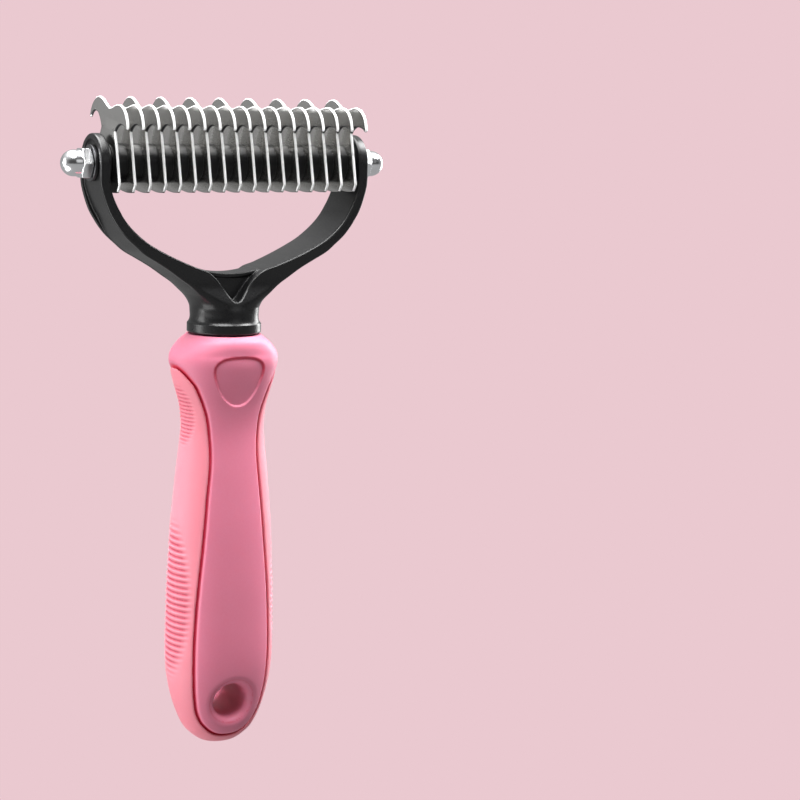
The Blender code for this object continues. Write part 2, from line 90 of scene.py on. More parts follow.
HANG_Z, HANG_R = 14.5, 5.05
BADGE_Z, BADGE_FLOOR = 108.0, 10.3
BAND = 2.0
GROOVE = 0.62


# ------------------------------------------------------------------ curves
def spline(points, steps, closed=False):
    """Catmull-Rom points through the given points."""
    out, n = [], len(points)
    for i in range(n if closed else n - 1):
        p1, p2 = points[i], points[(i + 1) % n]
        if closed:
            p0, p3 = points[i - 1], points[(i + 2) % n]
        else:
            p0 = points[i - 1] if i else [2 * a - b for a, b in zip(p1, p2)]
            p3 = points[i + 2] if i + 2 < n else [2 * a - b for a, b in zip(p2, p1)]
        for k in range(steps):
            t = k / steps
            out.append(tuple(
                0.5 * (2 * b + (c - a) * t + (2 * a - 5 * b + 4 * c - d) * t * t
                       + (3 * b - a - 3 * c + d) * t ** 3)
                for a, b, c, d in zip(p0, p1, p2, p3)))
    if not closed:
        out.append(tuple(points[-1]))
    return out


def offset(points, distance):
    out = []
    for i, (x, y) in enumerate(points):
        x0, y0 = points[max(i - 1, 0)]
        x1, y1 = points[min(i + 1, len(points) - 1)]
        length = math.hypot(x1 - x0, y1 - y0) or 1.0
        out.append((x - (y1 - y0) / length * distance, y + (x1 - x0) / length * distance))
    return out


def mirrored(half):
    return list(half) + [(-x, y) for x, y in reversed(half) if abs(x) > 1e-6]


# ------------------------------------------------------------------ distance fields and their mesh
class Grid:
    def __init__(self, low, high, step):
        step *= FINE
        self.h = step
        self.low = np.array(low, float)
        count = np.ceil((np.array(high, float) - self.low) / step).astype(int) + 1
        axes = [(self.low[i] + step * np.arange(count[i])).astype(np.float32) for i in range(3)]
        self.x, self.y, self.z = axes
        self.X = axes[0][:, None, None]
        self.Y = axes[1][None, :, None]
        self.Z = axes[2][None, None, :]
        self.shape = tuple(count)


def polygon_field(px, py, outline):
    """Signed distance of points to a closed outline, negative inside."""
    px, py = np.broadcast_arrays(np.asarray(px, np.float32), np.asarray(py, np.float32))
    best = np.full(px.shape, 1e9, np.float32)
    inside = np.zeros(px.shape, bool)
    n = len(outline)
    for i in range(n):
        ax, ay = outline[i]
        bx, by = outline[(i + 1) % n]
        ex, ey = bx - ax, by - ay
        length = ex * ex + ey * ey
        if length < 1e-12:
            continue
        wx, wy = px - ax, py - ay
        t = np.clip((wx * ex + wy * ey) / length, 0, 1)
        dx, dy = wx - ex * t, wy - ey * t
        np.minimum(best, dx * dx + dy * dy, out=best)
        if abs(ey) > 1e-12:
            crosses = ((ay <= py) != (by <= py)) & (wx < ex * wy / ey)
            inside ^= crosses
    return np.where(inside, -1, 1).astype(np.float32) * np.sqrt(best)


def turned_field(grid, radius, outline, span, step=0.05):
    """Field of an outline (r, z) turned about Z, for a 3-D array of radii."""
    r = np.arange(0, span, step, dtype=np.float32)
    table = polygon_field(r[:, None], grid.z[None, :], outline)
    out = np.empty(grid.shape, np.float32)
    for k in range(len(grid.z)):
        slab = radius[:, :, k] if radius.shape[2] > 1 else radius[:, :, 0]
        out[:, :, k] = np.interp(slab, r, table[:, k])
    return out


def meet(a, b, r):
    """Intersection with a rounded edge."""
    if np.ndim(r) == 0 and r <= 0:
        return np.maximum(a, b)
    u, v = np.maximum(a + r, 0), np.maximum(b + r, 0)
    return np.minimum(np.maximum(a, b), -r) + np.sqrt(u * u + v * v)


def join(a, b, r):
    """Union with a fillet."""
    if np.ndim(r) == 0 and r <= 0:
        return np.minimum(a, b)
    u, v = np.maximum(r - a, 0), np.maximum(r - b, 0)
    return np.maximum(np.minimum(a, b), r) - np.sqrt(u * u + v * v)


def less(a, b, r):
    return meet(a, -b, r)


def even(field, h):
    """A field rescaled so that its slope is 1 near the surface."""
    gx, gy, gz = np.gradient(field, h)
    return field / np.maximum(np.sqrt(gx * gx + gy * gy + gz * gz), 0.25)


CORNERS = [(0, 0, 0), (1, 0, 0), (0, 1, 0), (1, 1, 0), (0, 0, 1), (1, 0, 1), (0, 1, 1), (1, 1, 1)]
EDGES = [(a, b) for a in range(8) for b in range(a + 1, 8)
         if sum(abs(CORNERS[a][i] - CORNERS[b][i]) for i in range(3)) == 1]


def net(field, grid):
    """Surface net of a field: (points in millimetres, quads, normals)."""
    inside = field < 0
    nx, ny, nz = field.shape
    total = np.zeros((nx - 1, ny - 1, nz - 1), np.int8)
    for cx, cy, cz in CORNERS:
        total += inside[cx:nx - 1 + cx, cy:ny - 1 + cy, cz:nz - 1 + cz]
    cells = np.argwhere((total > 0) & (total < 8))
    number = np.full(total.shape, -1, np.int64)
    number[tuple(cells.T)] = np.arange(len(cells))
    value = [field[cells[:, 0] + c[0], cells[:, 1] + c[1], cells[:, 2] + c[2]] for c in CORNERS]
    place, count = np.zeros((len(cells), 3)), np.zeros(len(cells))
    for a, b in EDGES:
        da, db = value[a], value[b]
        hit = (da < 0) != (db < 0)
        t = np.where(hit, da / np.where(hit, da - db, 1), 0)
        pa, pb = np.array(CORNERS[a], float), np.array(CORNERS[b], float)
        place += np.where(hit[:, None], pa + t[:, None] * (pb - pa), 0)
        count += hit
    place = cells + place / count[:, None]
    quads = []
    for axis in range(3):
        p, q = (axis + 1) % 3, (axis + 2) % 3
        first = [slice(None)] * 3
        second = [slice(None)] * 3
        first[axis], second[axis] = slice(0, -1), slice(1, None)
        change = inside[tuple(first)] != inside[tuple(second)]
        at = np.argwhere(change)
        keep = (at[:, p] >= 1) & (at[:, q] >= 1) & (at[:, p] < field.shape[p] - 1) & (at[:, q] < field.shape[q] - 1)
        at = at[keep]
        corners = []
        for dp, dq in ((-1, -1), (0, -1), (0, 0), (-1, 0)):
            c = at.copy()
            c[:, p] += dp
            c[:, q] += dq
            corners.append(number[tuple(c.T)])
        quad = np.stack(corners, 1)
        outward = inside[tuple(at.T)]
        quad[~outward] = quad[~outward][:, ::-1]
        quads.append(quad)
    quads = np.concatenate(quads)
    # settle the points on the surface, and read the slope there for shading
    def read(points, data):
        base = np.clip(np.floor(points).astype(int), 0, np.array(field.shape) - 2)
        f = points - base
        out = 0
        for cx, cy, cz in CORNERS:
            w = (np.where(cx, f[:, 0], 1 - f[:, 0]) * np.where(cy, f[:, 1], 1 - f[:, 1])
                 * np.where(cz, f[:, 2], 1 - f[:, 2]))
            out = out + w * data[base[:, 0] + cx, base[:, 1] + cy, base[:, 2] + cz]
        return out
    def slope(points, reach=0.6):
        parts = []
        for axis in range(3):
            step = np.zeros(3)
            step[axis] = reach
            parts.append((read(points + step, field) - read(points - step, field)) / (2 * reach))
        return np.stack(parts, 1)
    for _ in range(2):
        g = slope(place)
        d = read(place, field)
        move = d[:, None] * g / np.maximum((g * g).sum(1), 1e-6)[:, None]
        size = np.linalg.norm(move, axis=1)
        move *= np.minimum(1, 0.35 / np.maximum(size, 1e-9))[:, None]
        place = place - move
    normals = slope(place)
    normals /= np.maximum(np.linalg.norm(normals, axis=1), 1e-9)[:, None]
    return grid.low + place * grid.h, quads, normals


def shell_parts(points, quads):
    """Label of the connected piece each point belongs to."""
    label = np.arange(len(points))
    while True:
        low = label[quads].min(1)
        new = label.copy()
        for c in range(4):
            np.minimum.at(new, quads[:, c], low)
        new = new[new]
        if (new == label).all():
            return label
        label = new


def mesh_object(name, points, faces, mat, matrix=None, normals=None, smooth=True):
    mesh = bpy.data.meshes.new(name)
    points = np.asarray(points, float) * MM
    faces = np.asarray(faces)
    if faces.ndim == 2:
        mesh.vertices.add(len(points))
        mesh.vertices.foreach_set("co", points.astype(np.float32).ravel())
        k = faces.shape[1]
        mesh.loops.add(faces.size)
        mesh.loops.foreach_set("vertex_index", faces.astype(np.int32).ravel())
        mesh.polygons.add(len(faces))
        mesh.polygons.foreach_set("loop_start", np.arange(0, faces.size, k, dtype=np.int32))
        mesh.update(calc_edges=True)
        mesh.validate()
    if smooth:
        mesh.shade_smooth()
    if matrix is not None:
        mesh.transform(matrix)
    if normals is not None:
        if matrix is not None:
            normals = normals @ np.array(matrix.to_3x3()).T
        mesh.normals_split_custom_set_from_vertices(normals.astype(np.float32))
    mesh.materials.append(mat)
    obj = bpy.data.objects.new(name, mesh)
    if matrix is None:
        obj.location.y = HANDLE_Y * MM
    bpy.context.scene.collection.objects.link(obj)
    return obj


# ------------------------------------------------------------------ materials
def srgb(r, g, b):
    return tuple((v / 12.92 if v <= 0.04045 else ((v + 0.055) / 1.055) ** 2.4)
                 for v in (r / 255, g / 255, b / 255)) + (1.0,)


class Nodes:
    def __init__(self, name):
        self.mat = bpy.data.materials.new(name)
        self.mat.use_nodes = True
        self.tree = self.mat.node_tree
        self.shader = self.tree.nodes["Principled BSDF"]
        self.coord = self.tree.nodes.new("ShaderNodeTexCoord").outputs["Object"]

    def node(self, kind, **inputs):
        node = self.tree.nodes.new(kind)
        for key, value in inputs.items():
            if hasattr(node, key):
                setattr(node, key, value)
        return node

    def set(self, node, **values):
        for key, value in values.items():
            socket = node.inputs[key.replace("_", " ")]
            if isinstance(value, bpy.types.NodeSocket):
                self.tree.links.new(value, socket)
            else:
                socket.default_value = value
        return node

    def noise(self, scale, detail=2.0, roughness=0.5, vector=None, distortion=0.0):
        node = self.tree.nodes.new("ShaderNodeTexNoise")
        self.set(node, Vector=vector or self.coord, Scale=scale, Detail=detail,
                 Roughness=roughness, Distortion=distortion)
        return node.outputs["Fac"]

    def stretch(self, scale):
        node = self.tree.nodes.new("ShaderNodeMapping")
        self.set(node, Vector=self.coord, Scale=scale)
        return node.outputs["Vector"]

    def ramp(self, value, low, high, out_low, out_high):
        node = self.tree.nodes.new("ShaderNodeMapRange")
        self.set(node, Value=value, From_Min=low, From_Max=high, To_Min=out_low, To_Max=out_high)
        return node.outputs["Result"]

    def mix(self, factor, a, b, blend="MIX"):
        node = self.tree.nodes.new("ShaderNodeMix")
        node.data_type = "RGBA"
        node.blend_type = blend
        links = self.tree.links
        for index, value in ((0, factor), (6, a), (7, b)):
            if isinstance(value, bpy.types.NodeSocket):
                links.new(value, node.inputs[index])
            else:
                node.inputs[index].default_value = value
        return node.outputs[2]

    def math(self, op, a, b=0.0, clamp=False):
        node = self.tree.nodes.new("ShaderNodeMath")
        node.operation = op
        node.use_clamp = clamp
        for index, value in ((0, a), (1, b)):
            if isinstance(value, bpy.types.NodeSocket):
                self.tree.links.new(value, node.inputs[index])
            else:
                node.inputs[index].default_value = value
        return node.outputs[0]

    def attribute(self, name):
        node = self.tree.nodes.new("ShaderNodeAttribute")
        node.attribute_name = name
        return node.outputs["Fac"]

    def bump(self, height, distance, strength=1.0, normal=None):
        node = self.tree.nodes.new("ShaderNodeBump")
        self.set(node, Height=height, Distance=distance, Strength=strength)
        if normal is not None:
            self.tree.links.new(normal, node.inputs["Normal"])
        return node.outputs["Normal"]

    def finish(self, **values):
        for key, value in values.items():
            socket = self.shader.inputs[key.replace("_", " ")]
            if isinstance(value, bpy.types.NodeSocket):
                self.tree.links.new(value, socket)
            else:
                socket.default_value = value
        return self.mat


def pink_plastic():
    n = Nodes("pink_plastic")
    broad = n.noise(45, 3, 0.55)
    grain = n.noise(5200, 2, 0.6)
    fine = n.noise(1600, 3, 0.6)
    base = n.mix(broad, srgb(222, 124, 150), srgb(227, 132, 157))
    base = n.mix(n.ramp(fine, 0.35, 0.65, 0.0, 0.08), base, srgb(212, 100, 130))
    # painted shade: darker crimson mixed in along the groove, inside the hanging hole and at the badge edge, driven
    # by the per-point shade attribute
    painted_shade = n.mix(n.attribute("painted_shade"), base, srgb(206, 20, 58))
    height = n.math("ADD", n.math("MULTIPLY", grain, 0.6), n.math("MULTIPLY", fine, 0.4))
    return n.finish(Base_Color=painted_shade, Roughness=n.ramp(fine, 0.3, 0.7, 0.40, 0.52),
                    Normal=n.bump(height, 0.00002, 0.6), IOR=1.46, Specular_IOR_Level=0.35,
                    Subsurface_Weight=0.15, Subsurface_Radius=(1.0, 0.35, 0.35),
                    Subsurface_Scale=0.0012)


def soft_grip():
    n = Nodes("soft_grip")
    broad = n.noise(60, 3, 0.5)
    fine = n.noise(2600, 3, 0.65)
    speck = n.noise(7800, 1, 0.5)
    base = n.mix(broad, srgb(232, 132, 148), srgb(237, 142, 156))
    base = n.mix(n.ramp(fine, 0.35, 0.7, 0.0, 0.10), base, srgb(222, 110, 138))
    # painted shade: darker pink in the rib valleys
    ribs = n.mix(n.math("MULTIPLY", n.attribute("rib_valley_shade"), 0.95), base, srgb(190, 28, 72))
    # painted shade: darker crimson along the groove walls of the band
    painted_shade = n.mix(n.attribute("painted_shade"), ribs, srgb(212, 28, 68))
    height = n.math("ADD", n.math("MULTIPLY", fine, 0.5), n.math("MULTIPLY", speck, 0.5))
    return n.finish(Base_Color=painted_shade, Roughness=n.ramp(fine, 0.3, 0.7, 0.50, 0.62),
                    Normal=n.bump(height, 0.00003, 0.7), IOR=1.45, Specular_IOR_Level=0.35,
                    Sheen_Weight=0.08, Sheen_Roughness=0.5,
                    Subsurface_Weight=0.15, Subsurface_Radius=(1.0, 0.4, 0.4),
                    Subsurface_Scale=0.0012)


def black_plastic():
    n = Nodes("black_plastic")
    broad = n.noise(70, 4, 0.6)
    fine = n.noise(2400, 3, 0.65)
    grain = n.noise(7000, 2, 0.5)
    base = n.mix(broad, srgb(15, 15, 16), srgb(22, 22, 23))
    base = n.mix(n.ramp(fine, 0.5, 0.75, 0.0, 0.35), base, srgb(34, 34, 35))
    height = n.math("ADD", n.math("MULTIPLY", fine, 0.5), n.math("MULTIPLY", grain, 0.5))
    return n.finish(Base_Color=base, Roughness=n.ramp(fine, 0.3, 0.7, 0.26, 0.36),
                    Normal=n.bump(height, 0.00002, 0.6), IOR=1.5, Specular_IOR_Level=0.42)


def spacer_plastic():
    n = Nodes("spacer_plastic")
    rings = n.noise(900, 2, 0.5, vector=n.stretch((6.0, 0.3, 0.3)))
    fine = n.noise(4200, 2, 0.6)
    base = n.mix(fine, srgb(8, 8, 9), srgb(14, 14, 15))
    return n.finish(Base_Color=base, Roughness=n.ramp(rings, 0.3, 0.7, 0.30, 0.40),
                    Normal=n.bump(rings, 0.00001, 0.4), IOR=1.45, Specular_IOR_Level=0.4)


def blade_steel():
    n = Nodes("blade_steel")
    lines = n.noise(1500, 4, 0.7, vector=n.stretch((0.2, 0.12, 3.0)))
    cloud = n.noise(220, 4, 0.6)
    pits = n.noise(5200, 2, 0.5)
    base = n.mix(cloud, srgb(203, 202, 200), srgb(213, 212, 210))
    base = n.mix(n.ramp(lines, 0.35, 0.7, 0.0, 0.30), base, srgb(192, 191, 188))
    rough = n.math("ADD", n.ramp(lines, 0.3, 0.7, 0.19, 0.25), n.ramp(cloud, 0.3, 0.7, -0.01, 0.03))
    height = n.math("ADD", n.math("MULTIPLY", lines, 0.7), n.math("MULTIPLY", pits, 0.3))
    return n.finish(Base_Color=base, Metallic=1.0, Roughness=rough,
                    Normal=n.bump(height, 0.000006, 0.5), Anisotropic=0.25)


def ground_steel_glint():
    n = Nodes("ground_steel_glint")
    lines = n.noise(2600, 3, 0.7, vector=n.stretch((4.0, 1.0, 1.0)))
    # near-white ground edges: partly the brighter ground finish, partly a painted highlight, with low metallic so
    # they read white under any light
    base = n.mix(lines, srgb(246, 246, 246), srgb(252, 252, 252))
    return n.finish(Base_Color=base, Metallic=0.35, Roughness=n.ramp(lines, 0.3, 0.7, 0.30, 0.42),
                    Normal=n.bump(lines, 0.000006, 0.5))


def turned_steel(name, tone, rough=0.22):
    n = Nodes(name)
    lines = n.noise(1400, 3, 0.7, vector=n.stretch((5.0, 0.6, 0.6)))
    base = n.mix(lines, srgb(tone, tone, tone + 2), srgb(tone + 22, tone + 22, tone + 24))
    return n.finish(Base_Color=base, Metallic=1.0, Roughness=n.ramp(lines, 0.3, 0.7, rough, rough + 0.14),
                    Normal=n.bump(lines, 0.00001, 0.5))


def nut_chrome():
    n = Nodes("nut_chrome")
    fine = n.noise(3200, 3, 0.6)
    wear = n.noise(420, 4, 0.65)
    base = n.mix(n.ramp(wear, 0.45, 0.75, 0.0, 0.5), srgb(240, 241, 243), srgb(222, 223, 227))
    return n.finish(Base_Color=base, Metallic=1.0, Roughness=n.ramp(fine, 0.3, 0.7, 0.17, 0.22),
                    Normal=n.bump(wear, 0.00001, 0.3))


PINK, GRIP, BLACK, SPACER = pink_plastic(), soft_grip(), black_plastic(), spacer_plastic()
STEEL, GROUND_GLINT = blade_steel(), ground_steel_glint()
# painted shade: dark grey steel on the downward-facing throat and foot edges of the blades, where shade falls
UNDERSIDE_SHADE = turned_steel("underside_painted_shade", 66, 0.34)
SHAFT, WASHER, CHROME = turned_steel("shaft_steel", 150), turned_steel("washer_steel", 84, 0.3), nut_chrome()


# ------------------------------------------------------------------ handle
def handle_fields():
    g = Grid((-18.5, -16.5, -1.5), (18.5, 16.5, 122.6), 0.395)
    t = np.clip((g.Z - 115.0) / 5.8, 0, 1)
    ratio = DEPTH_RATIO + (1 - DEPTH_RATIO) * t * t * (3 - 2 * t)
    n = 2.15
    radius = (np.abs(g.X) ** n + np.abs(g.Y / ratio) ** n) ** (1 / n)
    profile = spline(HANDLE, 8) + [(0.0, HANDLE[-1][1])]
    profile = [(x, z) for x, z in profile]
    outer = turned_field(g, radius.astype(np.float32), mirrored(profile[:-1]), 26.0)
    outer = even(outer, g.h)
    window = spline(PANEL, 8) + [(24.0, 118.0), (24.0, 130.0), (0.0, 130.0)]
    panel = polygon_field(g.x[:, None], g.z[None, :], mirrored(window))[:, None, :]
    return g, outer, panel


# Stores per-point painted shade: how much darker crimson is mixed into the colour where the surface lies in grooves
# and recesses.
def set_painted_shade(obj, values):
    attribute = obj.data.attributes.new("painted_shade", "FLOAT", "POINT")
    attribute.data.foreach_set("value", values.astype(np.float32))


def sample(grid, data, points):
    place = np.clip((points - grid.low) / grid.h, 0, np.array(data.shape) - 1.001)
    base = np.floor(place).astype(int)
    part = place - base
    total = np.zeros(len(points))
    for i, j, k in np.ndindex(2, 2, 2):
        weight = np.abs(1 - i - part[:, 0]) * np.abs(1 - j - part[:, 1]) * np.abs(1 - k - part[:, 2])
        total += weight * data[base[:, 0] + i, base[:, 1] + j, base[:, 2] + k]
    return total


def build_handle():
    g, outer, panel = handle_fields()
    # hard core: panels front and back, shoulder, and the body under the soft band
    top = meet(outer, np.broadcast_to(panel, outer.shape), 0.5)
    core = join(top, outer + BAND + 0.05, 0.25)
    # the groove beside the panel is shallow: its floor lies on the body
    core = np.minimum(core, np.maximum(outer + 0.85, np.broadcast_to(panel - GROOVE - 0.10, outer.shape)))
    core = meet(core, g.Z - 120.8, 0.35)
    rho = np.sqrt(g.X ** 2 + g.Y ** 2)
    socket = np.maximum(rho - 6.3, 93.7 - g.Z)
    core = less(core, socket, 0.2)
    hole = np.sqrt(g.X ** 2 + (g.Z - HANG_Z) ** 2) - HANG_R
    core = less(core, np.broadcast_to(hole, core.shape), np.where(g.Y < 0, 3.3, 1.2))
    w, h = 7.6, 7.0
    triangle = [(-w * 0.62, h * 0.93), (0, h), (w * 0.62, h * 0.93), (w * 0.96, h * 0.66),
                (w * 0.95, h * 0.18), (w * 0.66, -h * 0.52), (w * 0.33, -h * 0.90), (0, -h),
                (-w * 0.33, -h * 0.90), (-w * 0.66, -h * 0.52), (-w * 0.95, h * 0.18),
                (-w * 0.96, h * 0.66)]
    badge = polygon_field(g.x[:, None], g.z[None, :] - BADGE_Z, spline(triangle, 8, True))[:, None, :]
    recess = np.maximum(np.broadcast_to(badge, core.shape), np.maximum(-(outer + 0.5), g.Y))
    core = less(core, recess, 0.15)
    points, quads, normals = net(core, g)
    obj = mesh_object("handle_body", points, quads, PINK, normals=normals)
    # painted shade: the deeper a point lies below the outer surface, as in the groove, the more darker crimson it
    # gets; a faint amount inside the hanging hole
    depth = np.clip(-sample(g, outer, points) / 0.75 - 0.25, 0, 1)
    inside_hole = np.sqrt(points[:, 0] ** 2 + (points[:, 2] - HANG_Z) ** 2) < HANG_R + 1.6
    inside_badge = (np.abs(points[:, 0]) < 8.5) & (np.abs(points[:, 2] - BADGE_Z) < 7.5) & (points[:, 1] < 0)
    depth = np.where(inside_hole, np.clip(-sample(g, outer, points) / 4.0 - 0.3, 0, 1) * 0.15, depth)
    # painted shadow along the badge recess edge, strongest at its top edge
    edge = np.interp(np.abs(sample(g, np.broadcast_to(badge, core.shape), points)), (0.25, 0.65), (1, 0))
    high = np.clip((points[:, 2] - BADGE_Z + 2.5) / 6.0, 0, 1)
    depth = np.where(inside_badge, 0.75 * edge * high, depth)
    set_painted_shade(obj, depth)
    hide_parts("handle_core")
    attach(obj, "handle")

    # soft band with two ribbed fields on each side
    gb = g
    angle = np.degrees(np.arctan2(np.abs(gb.Y) / DEPTH_RATIO, np.abs(gb.X)))
    def field(z_mid, z_half, angle_half, pitch):
        leaf = np.sqrt(((gb.Z - z_mid) / z_half) ** 2 + (angle / angle_half) ** 2)
        mask = np.clip((1.0 - leaf) / 0.30, 0, 1)
        mask = mask * mask * (3 - 2 * mask)
        wave = 0.5 - 0.5 * np.cos(2 * np.pi * (gb.Z - z_mid) / pitch)
        return mask * wave
    low_ribs, high_ribs = field(43.8, 25.2, 43.0, 1.73), field(97.6, 10.0, 35.0, 1.12)
    ribs = 0.55 * low_ribs + 0.36 * high_ribs
    rib_valley_mask = low_ribs + high_ribs
    skin = outer + ribs.astype(np.float32)
    band = less(skin, np.broadcast_to(panel - GROOVE, skin.shape), 0.5)
    band = less(band, outer + BAND - 0.25, 0.15)
    points, quads, normals = net(band, gb)
    obj = mesh_object("grip_sleeve", points, quads, GRIP, normals=normals)
    # painted shade: darker crimson on the band where it lies below the outer surface, along the groove
    set_painted_shade(obj, np.clip(-sample(g, outer, points) / 0.8 - 0.75, 0, 1))
    # painted shade: darker pink in the rib valleys, squared to keep the lines narrow
    painted_rib_shade = np.clip(sample(g, ribs.astype(np.float32) * 0 + rib_valley_mask.astype(np.float32), points), 0, 1)
    attribute = obj.data.attributes.new("rib_valley_shade", "FLOAT", "POINT")
    attribute.data.foreach_set("value", (painted_rib_shade ** 2).astype(np.float32))
    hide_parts("grip_band")
    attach(obj, "handle")


# ------------------------------------------------------------------ fork
def fork_front():
    outer = spline(ARM_OUT, 8)
    inner = spline(ARM_IN, 8)
    top = SHAFT_Z + BOSS_R + 3
    half = [(0.0, ARM_OUT[0][1])] + outer + [(ARM_OUTER_X, top), (ARM_INNER_X, top)] + inner
    return mirrored(half)


def fork_side(inset, low, foot):
    depth = [(y - inset, z) for y, z in spline(ARM_DEPTH, 8) if z >= low]
    radius = BOSS_R - inset
    boss = [(radius * math.cos(a), SHAFT_Z + radius * math.sin(a))
            for a in (math.radians(v) for v in range(0, 91, 3))]
    return mirrored([(0.0, foot), (depth[0][0], foot)] + depth + boss)


def build_fork():
    g = Grid((-43.0, -12.4, 92.8), (43.0, 12.4, 179.5), 0.308)
    X2, Z2 = g.x[:, None], g.z[None, :]
    front = polygon_field(X2, Z2, fork_front())[:, None, :]
    side = polygon_field(g.y[:, None], Z2, fork_side(0.0, 0, 118.0))[None, :, :]
    arms = meet(np.broadcast_to(front, g.shape), np.broadcast_to(side, g.shape), 0.55)
    flare = [(x, z) for x, z in spline(ARM_OUT[:9], 8)]
    fz = np.array([z for _, z in flare]); fr = np.array([x for x, _ in flare])
    radius = np.interp(g.z, fz, fr + 0.12 + 0.12 * np.maximum(fz - 129.0, 0) ** 2)
    radius = radius + 3.0 * np.maximum(g.z - fz[-1], 0)
    radius = np.minimum(radius, 9.72 + 0.10 * np.maximum(g.z - 126.0, 0)
                        + 0.12 * np.maximum(g.z - 127.5, 0) ** 2)
    slope = np.abs(np.gradient(radius, g.z))
    rho = np.sqrt(g.X ** 2 + g.Y ** 2)
    envelope = (rho - radius[None, None, :]) / np.sqrt(1 + np.minimum(slope, 4) ** 2)[None, None, :]
    arms = meet(arms, envelope.astype(np.float32), 1.6)

    web_top = [(x, 138.2 + 1.2 * (x / 8.7) ** 2) for x in np.linspace(0, 8.7, 12)] + [(10.6, 138.2)]
    web_shape = mirrored([(0.0, 127.0), (4.0, 127.0), (6.0, 131.0)] + web_top[::-1])
    web = meet(np.broadcast_to(polygon_field(X2, Z2, web_shape)[:, None, :], g.shape),
               np.abs(g.Y) - 4.2 + 0 * arms, 0.7)
    body = join(arms, web, 0.35)
    lip_shape = mirrored([(0.0, 137.0)] + [(x, z - 1.2) for x, z in web_top[1:-1]] + web_top[-2::-1])
    lip = meet(np.broadcast_to(polygon_field(X2, Z2, lip_shape)[:, None, :], g.shape),
               np.abs(g.Y) - 4.55 + 0 * arms, 0.25)
    body = join(body, lip, 0.2)

    turned = [(0, 130.2), (5.0, 130.2), (7.6, 130.0), (8.75, 129.5), (9.3, 128.8), (9.6, 128.0),
              (9.72, 127.2), (9.76, 126.4), (9.8, 125.7),
              (9.92, 125.0), (10.12, 124.45), (10.4, 124.05), (10.62, 123.85), (10.68, 123.7),
              (10.65, 123.5), (10.65, 121.4), (10.35, 121.1),
              (6.0, 121.1), (6.0, 95.0), (5.0, 94.0), (0, 94.0)]
    collar = turned_field(g, rho.astype(np.float32), mirrored(turned[::-1]), 60.0)
    blend = np.clip((np.abs(g.X) - 4.0) / 3.0, 0, 1) * np.clip((g.Z - 125.5) / 2.0, 0, 1)
    body = join(body, collar, 0.3 + 0.5 * blend)

    # outer channel: even depth beside the boss, lower down its floor rises to the rear edge
    path = [p for p in spline(ARM_OUT, 8) if p[1] > 131.6]
    top = SHAFT_Z + BOSS_R + 4
    strip = path + [(ARM_OUTER_X, top), (52.0, top), (52.0, 131.0), (path[0][0] + 2, 131.0)]
    t = np.clip((g.z - 131.6) / 6.5, 0, 1)
    u = np.clip((163.0 - g.z) / 8.0, 0, 1)
    run = (0.7 + 0.4 * u) * (-0.5 + 1.5 * t * t * (3 - 2 * t))
    low_part = np.clip((155.0 - g.z) / 9.0, 0, 1)
    reach = np.interp(g.z, [z for _, z in ARM_DEPTH], [y for y, _ in ARM_DEPTH]) - 1.6
    rise = np.clip((g.Y + reach) / (2 * reach), 0, 1) * low_part * low_part * (3 - 2 * low_part)
    depth = (run * (1 - 0.92 * rise)).astype(np.float32)
    inside = polygon_field(g.y[:, None], Z2, fork_side(1.6, 132, 132.3))[None, :, :]
    channel = np.minimum(polygon_field(X2, Z2, strip), polygon_field(-X2, Z2, strip))[:, None, :] - depth
    channel = meet(channel, np.broadcast_to(inside, g.shape), 0.15)
    body = less(body, channel, 0.22)
    bore = np.sqrt(g.Y ** 2 + (g.Z - SHAFT_Z) ** 2) - 2.55
    body = less(body, np.broadcast_to(bore, g.shape), 0.2)
    points, quads, normals = net(body, g)
    obj = mesh_object("fork_yoke", points, quads, BLACK, normals=normals)
    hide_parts("fork")
    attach(obj, "handle")


